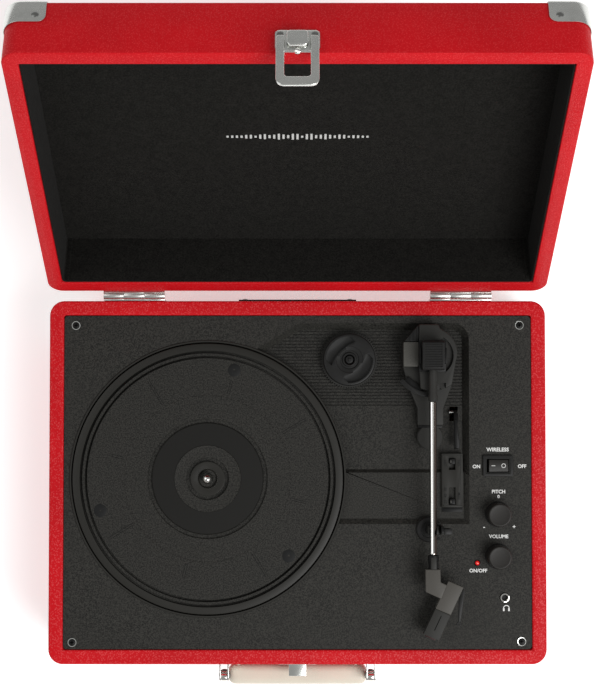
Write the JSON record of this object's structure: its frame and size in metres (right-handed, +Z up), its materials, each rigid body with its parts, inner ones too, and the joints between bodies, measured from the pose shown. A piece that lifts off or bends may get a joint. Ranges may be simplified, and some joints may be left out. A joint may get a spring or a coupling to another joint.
{
  "type": "suitcase record player",
  "caption": "Portable record player in a wrapped suitcase: hinged lid with latch, belt-driven platter, swinging and lifting tonearm, controls, carry handle.",
  "frame": {"origin": "middle of the whole object's footprint with the lid open, at the height the feet stand on", "axes": "+X to the right as seen from the handle side, +Y from the handle towards the hinges and the open lid, +Z up"},
  "size_m": [0.3572, 0.448, 0.3217],
  "materials": {
    "red_vinyl": "fibreboard wrapped in pebble-grain vinyl",
    "black_felt": "short felt",
    "deck_plastic": "fine spark-eroded texture",
    "black_plastic": "satin",
    "grey_plastic": "satin",
    "platter_plastic": "fine texture with turned rings",
    "bright_steel": "nickel plated",
    "chrome": "polished",
    "cream_plastic": "satin moulded",
    "rubber": "moulded",
    "circuit_board": "solder resist",
    "red_lens": "clear red",
    "fibreboard": "pressed board",
    "paper_cone": "pressed paper"
  },
  "bodies": {
    "root": {"amplifier_board": "circuit_board", "arm_rest": "black_plastic", "base_case": "red_vinyl", "base_corner_1": "bright_steel", "base_corner_2": "bright_steel", "base_corner_3": "bright_steel", "base_corner_4": "bright_steel", "base_hinge_leaf_left": "bright_steel", "base_hinge_leaf_right": "bright_steel", "bottom_panel": "fibreboard", "deck_panel": "deck_plastic", "drive_belt": "rubber", "foot_1": "rubber", "foot_2": "rubber", "foot_3": "rubber", "foot_4": "rubber", "handle_bracket_left": "bright_steel", "handle_bracket_right": "bright_steel", "headphone_jack": "chrome", "hinge_pin_left": "bright_steel", "hinge_pin_right": "bright_steel", "latch_catch": "bright_steel", "motor": "bright_steel", "power_led": "red_lens", "rear_panel": "black_plastic", "rocker_frame": "black_plastic", "speaker_left": "paper_cone", "speaker_right": "paper_cone", "spindle_bearing": "bright_steel", "switch_plate": "grey_plastic", "tonearm_base": "grey_plastic"},
    "lid": {"lid_shell": "red_vinyl", "lid_lining": "black_felt", "lid_corner_1": "bright_steel", "lid_corner_2": "bright_steel", "lid_corner_3": "bright_steel", "lid_corner_4": "bright_steel", "latch_plate": "bright_steel", "lid_hinge_leaf_left": "bright_steel", "lid_hinge_leaf_right": "bright_steel"},
    "latch": {"latch_loop": "bright_steel"},
    "handle": {"handle_core": "bright_steel", "handle_grip": "cream_plastic"},
    "platter": {"platter": "platter_plastic", "spindle": "chrome"},
    "pulley": {"motor_pulley": "bright_steel"},
    "arm_yoke": {"tonearm_yoke": "black_plastic"},
    "arm": {"pivot_cap": "black_plastic", "tonearm_tube": "chrome", "headshell": "grey_plastic", "cartridge": "black_plastic"},
    "clip": {"arm_rest_clip": "black_plastic"},
    "cue_lever": {"cue_lever": "black_plastic"},
    "cue_lift": {"cue_lift": "black_plastic"},
    "pitch_knob": {"pitch_knob": "black_plastic"},
    "volume_knob": {"volume_knob": "black_plastic"},
    "rocker": {"rocker": "black_plastic"},
    "autostop_slider": {"autostop_slider": "black_plastic"},
    "speed_slider": {"speed_slider": "black_plastic"},
    "adapter": {"adapter_45": "black_plastic"}
  },
  "joints": [
    {"name": "lid_hinge", "type": "hinge", "parent": "root", "child": "lid", "pos_m": [0, 0.05799, 0.0754], "axis": [1, 0, 0], "range_deg": [0, 119.1]},
    {"name": "latch_swing", "type": "hinge", "parent": "lid", "child": "latch", "pos_m": [0, 0.19628, 0.30309], "axis": [-1, 0, 0], "range_deg": [0, 120]},
    {"name": "handle_swing", "type": "hinge", "parent": "root", "child": "handle", "pos_m": [0, -0.21651, 0.054], "axis": [-1, 0, 0], "range_deg": [0, 90]},
    {"name": "platter_spin", "type": "hinge", "parent": "root", "child": "platter", "pos_m": [-0.0641, -0.07311, 0.064], "axis": [0, 0, 1], "continuous": true},
    {"name": "pulley_spin", "type": "hinge", "parent": "root", "child": "pulley", "pos_m": [-0.12385, -0.02297, 0.064], "axis": [0, 0, 1], "continuous": true},
    {"name": "tonearm_swing", "type": "hinge", "parent": "root", "child": "arm_yoke", "pos_m": [0.0957, 0.01409, 0.0859], "axis": [0, 0, 1], "range_deg": [-46, 0]},
    {"name": "tonearm_lift", "type": "hinge", "parent": "arm_yoke", "child": "arm", "pos_m": [0.0957, 0.01409, 0.092], "axis": [1, 0, 0], "range_deg": [-20, 0]},
    {"name": "clip_swing", "type": "hinge", "parent": "root", "child": "clip", "pos_m": [0.1027, -0.10921, 0.093], "axis": [0, -1, 0], "range_deg": [0, 100]},
    {"name": "cue_lever_swing", "type": "hinge", "parent": "root", "child": "cue_lever", "pos_m": [0.1122, -0.02681, 0.0715], "axis": [-1, 0, 0], "range_deg": [0, 60]},
    {"name": "cue_lift_slide", "type": "slide", "parent": "root", "child": "cue_lift", "axis": [0, 0, 1], "range_m": [0, 0.004]},
    {"name": "pitch_turn", "type": "hinge", "parent": "root", "child": "pitch_knob", "pos_m": [0.1432, -0.09861, 0.08], "axis": [0, 0, 1], "range_deg": [-135, 135]},
    {"name": "volume_turn", "type": "hinge", "parent": "root", "child": "volume_knob", "pos_m": [0.1432, -0.12851, 0.08], "axis": [0, 0, 1], "range_deg": [-300, 0]},
    {"name": "rocker_tilt", "type": "hinge", "parent": "root", "child": "rocker", "pos_m": [0.1431, -0.06391, 0.073], "axis": [0, -1, 0], "range_deg": [0, 20]},
    {"name": "autostop_slide", "type": "slide", "parent": "root", "child": "autostop_slider", "axis": [0, -1, 0], "range_m": [0, 0.0037]},
    {"name": "speed_slide", "type": "slide", "parent": "root", "child": "speed_slider", "axis": [0, 1, 0], "range_m": [0, 0.0078]},
    {"name": "adapter_lift", "type": "slide", "parent": "root", "child": "adapter", "axis": [0, 0, 1], "range_m": [0, 0.03]}
  ],
  "couplings": [
    {"joint": "pulley_spin", "follows": "platter_spin", "ratio": 15},
    {"joint": "cue_lift_slide", "follows": "cue_lever_swing", "m_per_rad": 0.0038}
  ]
}
